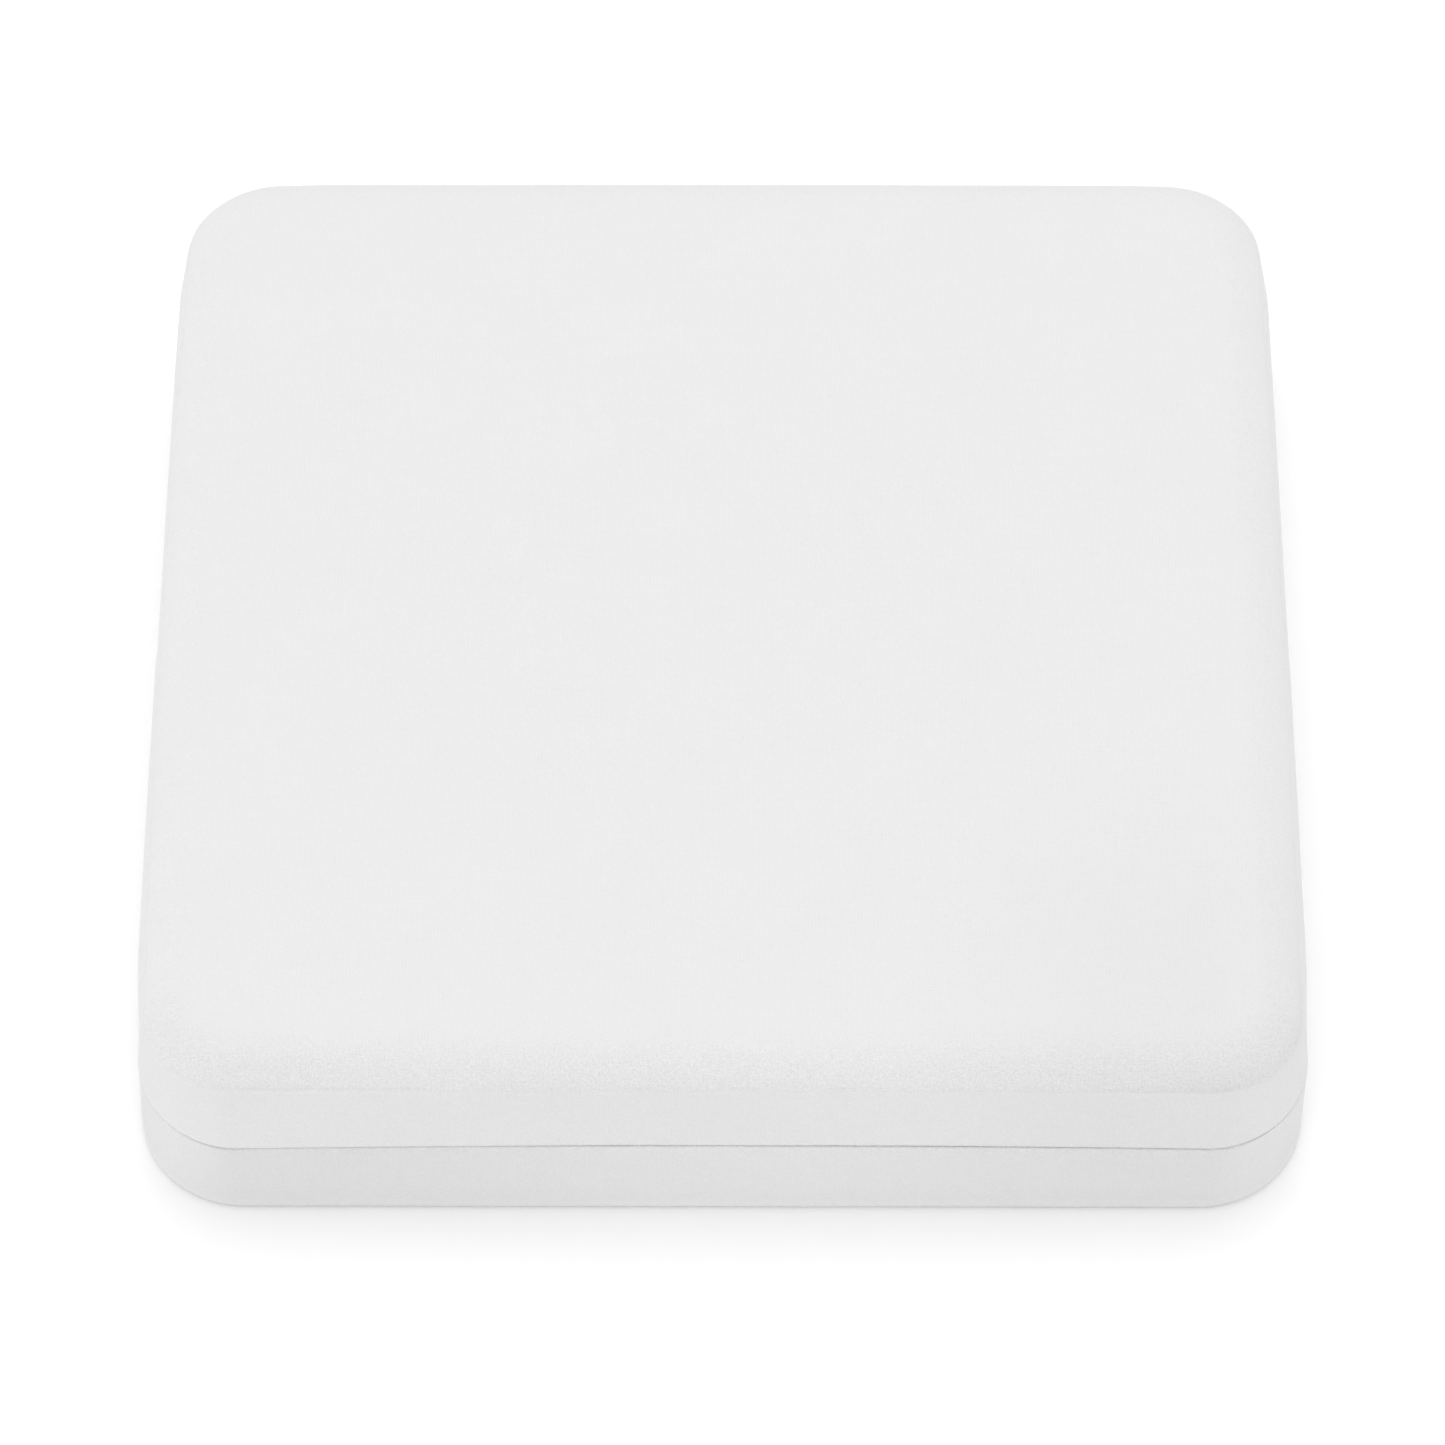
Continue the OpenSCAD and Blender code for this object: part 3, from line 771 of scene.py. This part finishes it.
def base_path():
    """Out of the hem under the case, up the wall, over the rim and down the turn-in, and back inside."""
    inner = SHELL + 2 * VELVET
    low = base_lo.z - HEM_DROP
    turn_z = BASE_RIM - BASE_TURN_IN
    top_in = CORNER - inner + RIM_ROUND
    path = line((CORNER - TURN_UNDER, base_lo.z), (CORNER - CARD_INSET, base_lo.z), 1.5 * MM)
    path += line((CORNER - CARD_INSET, base_lo.z), (CORNER - HEM_ROUND, low), 0.3 * MM)
    path += arc(CORNER - HEM_ROUND, low + HEM_ROUND, HEM_ROUND, -90, 0, 0.2 * MM)
    path += line((CORNER, low + HEM_ROUND), (CORNER, BASE_RIM - RIM_ROUND), WALL_STEP)
    path += arc(CORNER - RIM_ROUND, BASE_RIM - RIM_ROUND, RIM_ROUND, 0, 90, RIM_STEP)
    path += line((CORNER - RIM_ROUND, BASE_RIM), (top_in, BASE_RIM), FLAT_STEP)
    path += arc(top_in, BASE_RIM - RIM_ROUND, RIM_ROUND, 90, 180, RIM_STEP)
    path += line((CORNER - inner, BASE_RIM - RIM_ROUND), (CORNER - inner, turn_z), TURN_STEP)
    path += line((CORNER - inner, turn_z), (CORNER - inner + VELVET, turn_z), VELVET)
    seen = len(path)
    x_in, x_out = CORNER - inner + VELVET, CORNER - VELVET
    path += line((x_in, turn_z), (x_in, BASE_RIM - VELVET), HIDDEN_STEP)
    path += line((x_in, BASE_RIM - VELVET), (x_out, BASE_RIM - VELVET), HIDDEN_STEP)
    path += line((x_out, BASE_RIM - VELVET), (x_out, low + VELVET), HIDDEN_STEP)
    path += line((x_out, low + VELVET), (CORNER - TURN_UNDER, low + VELVET), HIDDEN_STEP)
    path += [(CORNER - TURN_UNDER, low + VELVET)]
    return path, seen


def base_shape(x, z, centres, outward):
    """Where the stretch of its cloth puts a ring of the base's outer surface."""
    place = centres + outward * CORNER
    front = place[:, 1] < 0
    at_rim = np.where(front, 1.0, 0.25)
    at_foot = np.where(place[:, 0] < 0, BASE_LEFT, BASE_RIGHT) * at_rim
    share = at_foot + (at_rim - at_foot) * smooth_step((z - base_lo.z) / (BASE_RIM - base_lo.z))
    near_rim = smooth_step(1 - (BASE_RIM - z) / BOW_H)
    return x - share * corner_pull(centres, outward), z + near_rim * rim_bow(centres, outward)


SHELL_TOP = BASE_RIM - VELVET
COVER = 0.12 * MM  # the least pile over the shell's edge, where the rim dips at the left front corner


def make_base_cover():
    path, seen = base_path()
    s = lengths_along(np.array(path))
    rim_s = s[min(i for i, p in enumerate(path) if abs(p[1] - BASE_RIM) < 1e-9)]
    turn_s = s[seen - 1]
    hem_s = TURN_UNDER

    def move(x, z, at, centres, outward):
        notch = in_notch(centres, outward)
        edge = smooth_step(1 - (BASE_RIM - z) / EDGE_H)
        xs, zs = base_shape(x, z, centres, outward)
        zs = zs + edge * (ragged(centres, outward, 8) + close_up(centres, outward))
        if x < CORNER - SHELL or at > rim_s:
            xs = np.full(len(centres), x)
        if z > BASE_RIM - RIM_ROUND and x < CORNER - 0.02 * MM:
            zs = np.maximum(zs, SHELL_TOP + COVER)
        if at > hem_s:
            limit = SEAM - NOTCH_H - (CLEAR if at >= rim_s - 2 * RIM_ROUND else 0)
            zs = zs + notch * (np.minimum(zs, limit) - zs)
        if at >= rim_s and x < CORNER - SHELL - VELVET:
            xs = xs + notch * (CORNER - SHELL - VELVET + CLEAR - xs)
        return xs, zs

    verts, faces, uvs, lengths = sweep(path, SIDE_STEPS, CORNER_STEPS, True, move)
    rim = np.exp(-((lengths - rim_s) / (1.5 * MM)) ** 2)
    # painted light along the foot
    foot = smooth_step(1 - (verts[:, 2] - base_lo.z) / FOOT_H)
    upper = smooth_step((verts[:, 2] - base_lo.z - UPPER_Z) / UPPER_H)
    # painted light and shade over the base's front: lighter in the middle, darker at the ends and towards
    # the parting line
    front_painted_shading = BASE_ENDS_PAINTED_SHADE + MIDDLE_PAINTED_LIGHT * front_middle(verts) + UPPER_PAINTED_SHADE * upper
    painted_light_and_shade = FOOT_PAINTED_LIGHT * foot + front_face(verts) * front_painted_shading
    obj = mesh_object("base_velvet", verts, faces, uvs, {"roll": 0.3 + 0.55 * rim, "painted_light_and_shade": painted_light_and_shade})
    places, normals = vertex_places(obj), vertex_normals(obj)
    seen_part = ((lengths > hem_s) & (lengths < turn_s - 0.5 * MM)).astype(float)
    out = 0.035 * MM * noise_at(places, 18 * MM, 15) + 0.012 * MM * noise_at(places, 3 * MM, 16)
    set_places(obj, places + normals * (out * seen_part)[:, None])
    return obj


def cloth_width(path, seen):
    return float(lengths_along(np.array(path))[seen - 1])


PERIMETER = 8 * STRAIGHT + 2 * math.pi * CORNER
LID_CLOTH = 2 * (STRAIGHT + cloth_width(*lid_path()))
BASE_CLOTH_WIDTH = cloth_width(*base_path())


def rim_fibres(name, shape, z_rim, up, seed):
    """Short loose pile fibres that stand out of a turned velvet edge, into and across the parting line."""
    random = np.random.default_rng(seed)
    per_mm = 9
    centres, outward = plan_columns(400, 60)
    edge_x, edge_z = shape(CORNER, z_rim, centres, outward)
    place = centres + outward * edge_x[:, None]
    edge_z = edge_z + ragged(centres, outward, seed)
    keep = in_notch(centres, outward) < 0.01
    picks = random.choice(np.flatnonzero(keep), int(PERIMETER / MM * per_mm))
    verts, faces = [], []
    for i in picks:
        out = Vector((*outward[i], 0))
        side = Vector((-outward[i][1], outward[i][0], 0))
        inset = random.uniform(0, 0.5) * MM
        z = edge_z[i] + up * (0.15 * MM - 0.15 * inset)
        depth = 0.25 * MM * random.uniform(0.3, 1) + inset * 0.4
        root = Vector((place[i][0], place[i][1] + CENTRE_Y, z)) - out * depth
        root += side * random.uniform(-0.7, 0.7) * MM
        lean = out * random.uniform(0.0, 0.4) - Vector((0, 0, up)) * random.uniform(0.2, 1.1)
        lean += side * random.uniform(-0.9, 0.9)
        tip = root + lean.normalized() * random.uniform(0.18, 0.42) * MM
        thick = random.uniform(0.02, 0.035) * MM
        across = lean.cross(out + side * 0.3).normalized()
        over = lean.cross(across).normalized()
        first = len(verts)
        for k in range(3):
            a = 2 * math.pi * k / 3
            verts.append(root + (across * math.cos(a) + over * math.sin(a)) * thick)
        verts.append(tip)
        faces += [(first, first + 1, first + 3), (first + 1, first + 2, first + 3),
                  (first + 2, first, first + 3), (first, first + 2, first + 1)]
    verts = np.array([tuple(v) for v in verts])
    obj = mesh_object(name, verts, faces, verts[:, :2], {"roll": np.ones(len(verts))}, smooth=False)
    return obj


def make_lid_padding():
    """The foam under the lid's velvet, which it holds up from the shell's top."""
    roll_r = (ROLL_IN**2 + ROLL_H**2) / (2 * ROLL_H) - VELVET - FOAM_SLACK
    roll_x = CORNER - LEAN - ROLL_IN
    roll_z = TOP - VELVET - FOAM_SLACK - roll_r
    foam_low = foam_lo.z + CLEAR
    low = math.degrees(math.asin((foam_low - roll_z) / roll_r))
    path = [(0, TOP - VELVET - FOAM_SLACK)]
    path += line((0.5 * roll_x, roll_z + roll_r), (roll_x, roll_z + roll_r), 2 * MM)
    path += arc(roll_x, roll_z, roll_r, 90, low, 0.8 * MM)
    path += [(roll_x + roll_r * math.cos(math.radians(low)), foam_low)]
    path += [(roll_x, foam_low), (0, foam_low)]

    verts, faces, uvs, _ = sweep(path, PADDING_SIDE_STEPS, PADDING_CORNER_STEPS, False, lid_shape_of_ring)
    return mesh_object("lid_padding", verts, faces, uvs)


lid_padding = make_lid_padding()
lid_padding.data.materials.append(foam)
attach(lid_padding, "lid")
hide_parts("lid_top_foam")

lid_velvet = make_lid_cover()
lid_velvet.data.materials.append(velvet)
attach(lid_velvet, "lid")
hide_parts("lid_cover")

base_velvet = make_base_cover()
base_velvet.data.materials.append(velvet)
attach(base_velvet, "base")
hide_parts("base_cover")

for rim_name, rim_body, rim_shape, rim_z, rim_up, rim_seed in (
    ("lid_rim_pile", "lid", lid_shape, LID_RIM, 1, 3), ("base_rim_pile", "base", base_shape, BASE_RIM, -1, 8)
):
    pile = rim_fibres(rim_name, rim_shape, rim_z, rim_up, rim_seed)
    pile.data.materials.append(velvet)
    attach(pile, rim_body)


# ---------------------------------------------------------------- display pad
PAD_ROUND = 2.2 * MM
PAD_CROWN = 1.1 * MM
PAD_STEPS = 52
PAD_CORNER_STEPS = 8
PAD_PRESSURE = 4
# Each slit: centre x and y as shares of the case, length, width and angle
SLITS = [
    (0.32, 0.36, 12 * MM, 1.2 * MM, -45), (-0.32, 0.36, 12 * MM, 1.2 * MM, 45),
    (0.14, -0.10, 8 * MM, 1.2 * MM, 0), (-0.14, -0.10, 8 * MM, 1.2 * MM, 0),
    (0, -0.30, 24 * MM, 2.4 * MM, 0),
]


def pad_path():
    """From the middle of the top to the board below, a little lower than the pad ends up."""
    x = (pad_hi.x - pad_lo.x) / 2 - STRAIGHT
    board_x = (board_hi.x - board_lo.x) / 2 - STRAIGHT + CLEAR
    top = pad_hi.z - PAD_CROWN
    low = pad_lo.z + CLEAR
    path = line((0, top), (x - PAD_ROUND, top), 1.2 * MM)
    path += arc(x - PAD_ROUND, top - PAD_ROUND, PAD_ROUND, 90, 0, 0.7 * MM)
    path += line((x, top - PAD_ROUND), (x, low), 1 * MM)
    over_board = board_hi.z + CLEAR
    path += [(x, low), (board_x, low), (board_x, over_board), (0, over_board)]
    return path


def make_display_pad():
    """Velvet over foam, swollen by simulation between its glued edges, then cut with its slits."""
    verts, faces, uvs, _ = sweep(pad_path(), PAD_STEPS, PAD_CORNER_STEPS, False)
    obj = mesh_object("display_pad_velvet", verts, faces, uvs, {"roll": np.full(len(verts), 0.35)})
    side = (pad_hi.x - pad_lo.x) / 2
    edge = side - np.maximum(np.abs(verts[:, 0]), np.abs(verts[:, 1] - CENTRE_Y))
    swell(obj, (verts[:, 2] < board_hi.z + 1.2 * MM) | (edge < CLEAR), PAD_PRESSURE, 0.0, PAD_CROWN)
    subdivide(obj, 2)
    places = vertex_places(obj)
    x, y = places[:, 0], places[:, 1] - CENTRE_Y
    upper = smooth_step((places[:, 2] - board_hi.z - 1 * MM) / (2 * MM))
    lift = 0.07 * MM * noise_at(places, 22 * MM, 31) + 0.02 * MM * noise_at(places, 4 * MM, 32)
    for sx, sy, length, width, angle in SLITS:
        a = math.radians(angle)
        dx, dy = x - 2 * sx * HALF, y - 2 * sy * HALF
        along = np.abs(dx * math.cos(a) + dy * math.sin(a))
        across = np.abs(-dx * math.sin(a) + dy * math.cos(a))
        past = np.maximum(along - (length - width) / 2, 0)
        away = np.hypot(past, across)
        lift = lift - 0.5 * MM * np.exp(-((away / (1.6 * width + 1 * MM)) ** 2))
        lift = lift - 3.2 * MM * smooth_step(1.35 - away / (0.62 * width))
    places[:, 2] += upper * lift
    set_places(obj, places)
    return obj


display_pad = make_display_pad()
display_pad.data.materials.append(pad_velvet)
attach(display_pad, "base")
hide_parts("display_cover", "display_foam")


# ---------------------------------------------------------------- satin lining
LINING_ROUND = 1.4 * MM
LINING_CROWN = 0.7 * MM
LINING_REACH = 1.5 * MM
LINING_SPARE = 0.008
LINING_STEPS = 44
LINING_PRESSURE = 1.5
LINING_GLUED = 0.6 * MM  # width of its glued edge


def lining_path():
    x = (satin_hi.x - satin_lo.x) / 2 - STRAIGHT
    board_x = x - 0.5 * MM
    low = satin_lo.z + LINING_CROWN
    board_z = wadding_hi.z - CLEAR
    path = line((0, low), (x - LINING_ROUND, low), 1.3 * MM)
    path += arc(x - LINING_ROUND, low + LINING_ROUND, LINING_ROUND, -90, 0, 0.7 * MM)
    path += [(x, low + LINING_ROUND), (x, satin_hi.z - 0.03 * MM)]
    path += [(board_x, satin_hi.z - 0.03 * MM), (board_x, board_z), (0, board_z)]
    return path


def make_lining():
    """Satin over wadding, cut a little large and swollen by simulation between its glued edges."""
    verts, faces, uvs, _ = sweep(lining_path(), LINING_STEPS, PAD_CORNER_STEPS, False)
    faces = [tuple(reversed(f)) for f in faces]
    obj = mesh_object("lid_lining", verts, faces, uvs)
    side = (satin_hi.x - satin_lo.x) / 2
    edge = side - np.maximum(np.abs(verts[:, 0]), np.abs(verts[:, 1] - CENTRE_Y))
    glued = (verts[:, 2] > wadding_hi.z - 0.1 * MM) | (edge < LINING_GLUED)
    swell(obj, glued, LINING_PRESSURE, LINING_SPARE, LINING_REACH)
    subdivide(obj, 2)
    return obj


lining = make_lining()
lining.data.materials.append(satin)
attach(lining, "lid")
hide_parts("lid_lining_satin", "lid_lining_wadding")


# ---------------------------------------------------------------- snap spring
SPRING_T = 0.3 * MM
SPRING_EDGE = 0.08 * MM


def make_spring():
    """A bow of flat strip between two feet that lie on the hinge leaves."""
    half_h, depth, foot = 3.6 * MM, 3.2 * MM, 1 * MM
    face = spring_hi.y
    r = (half_h**2 + depth**2) / (2 * depth) - SPRING_T / 2
    bow_y = face - depth + r + SPRING_T / 2
    line_y = face - SPRING_T / 2
    angle = math.degrees(math.acos((bow_y - line_y) / r))
    middle = [(line_y, spring_lo.z), (line_y, spring_lo.z + 0.7 * foot)]
    for i in range(33):
        a = math.radians(180 + angle - 2 * angle * i / 32)
        middle.append((bow_y + r * math.cos(a), SEAM + r * math.sin(a)))
    lean = LEAN_SLOPE * (spring_hi.z - LID_RIM)
    middle += [(line_y - lean, spring_hi.z - 0.7 * foot), (line_y - lean, spring_hi.z)]
    middle = np.array(middle)
    tangents = np.gradient(middle, axis=0)
    tangents /= np.hypot(*tangents.T)[:, None]
    normals = np.column_stack([-tangents[:, 1], tangents[:, 0]])
    w, e, t = (spring_hi.x - spring_lo.x) / 2, SPRING_EDGE, SPRING_T / 2
    lower = [(-w, -t + e), (-w + e, -t), (w - e, -t), (w, -t + e)]
    section = lower + [(-across, -out) for across, out in lower]
    verts, faces = [], []
    for p, nrm in zip(middle, normals):
        for across, out in section:
            verts.append((across, p[0] + nrm[0] * out, p[1] + nrm[1] * out))
    m = len(section)
    for i in range(len(middle) - 1):
        for j in range(m):
            k = (j + 1) % m
            faces.append((i * m + j, i * m + k, (i + 1) * m + k, (i + 1) * m + j))
    faces.append(tuple(range(m - 1, -1, -1)))
    faces.append(tuple((len(middle) - 1) * m + j for j in range(m)))
    return mesh_object("hinge_spring_bow", np.array(verts), faces, smooth=False)


spring_bow = make_spring()
spring_bow.data.materials.append(spring_steel)
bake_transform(spring_bow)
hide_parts("hinge_spring")


# ---------------------------------------------------------------- CAD nodes that stay
NODE_MATERIALS = {
    "base_bottom_card": card,
    "base_shell": plastic,
    "lid_shell": plastic,
    "display_board": greyboard,
    "lid_lining_board": greyboard,
    "hinge_leaf_base": nickel,
    "hinge_leaf_lid": nickel,
    "hinge_pin": wire,
    "base_rivets": rivet_metal,
    "lid_rivets": rivet_metal,
}
for node_name, material in NODE_MATERIALS.items():
    for material_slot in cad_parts[node_name].material_slots:
        material_slot.material = material


# ---------------------------------------------------------------- floor and light
FLOOR_SIZE = 8.0


def make_floor():
    half = FLOOR_SIZE / 2
    verts = np.array([(-half, -half, 0), (half, -half, 0), (half, half, 0), (-half, half, 0)])
    floor = mesh_object("floor", verts, [(0, 1, 2, 3)], verts[:, :2], smooth=False)
    material, tree, shader = new_material("floor_paper")
    solid = node(tree, "ShaderNodeTexCoord").outputs["Object"]
    paper = math_node(tree, "ADD", centred(tree, noise_node(tree, solid, 900, 3.0), 0.01), 1.0)
    tree.links.new(tinted(tree, (0.95, 0.95, 0.95), paper), shader.inputs["Base Color"])
    shader.inputs["Roughness"].default_value = 0.9
    shader.inputs["Specular IOR Level"].default_value = 0.1
    floor.data.materials.append(material)


def make_softbox(name, azimuth, elevation, distance, width, height, power):
    """A rectangular light aimed at the case: azimuth is from the front, positive to the right."""
    a, e = math.radians(azimuth), math.radians(elevation)
    place = distance * Vector((math.cos(e) * math.sin(a), -math.cos(e) * math.cos(a), math.sin(e)))
    data = bpy.data.lights.new(name, "AREA")
    data.shape = "RECTANGLE"
    data.size, data.size_y = width, height
    data.energy = power
    light = bpy.data.objects.new(name, data)
    light.location = place
    light.rotation_euler = (Vector((0, 0, 20 * MM)) - place).to_track_quat("-Z", "Y").to_euler()
    bpy.context.scene.collection.objects.link(light)


def make_world(strength):
    world = bpy.data.worlds.new("studio")
    world.use_nodes = True
    background = world.node_tree.nodes["Background"]
    background.inputs["Color"].default_value = (1, 1, 1, 1)
    background.inputs["Strength"].default_value = strength
    bpy.context.scene.world = world


make_floor()
make_world(0.808)
make_softbox("front_main", -5, 40, 1.6, 1.2, 0.6, 3.2)
make_softbox("front_high", 0, 60, 1.6, 1.0, 0.8, 1.1)
make_softbox("rear", 180, 45, 1.6, 1.0, 0.8, 2.1)
make_softbox("rear_left", -150, 72, 1.6, 0.9, 0.9, 2.5)
make_softbox("rear_right", 150, 72, 1.6, 0.9, 0.9, 3.2)
make_softbox("left_fill", -90, 15, 3.2, 2.0, 0.8, 12.4)
make_softbox("right_fill", 90, 15, 3.2, 2.0, 0.8, 7.6)
bpy.context.scene.view_settings.view_transform = "Standard"
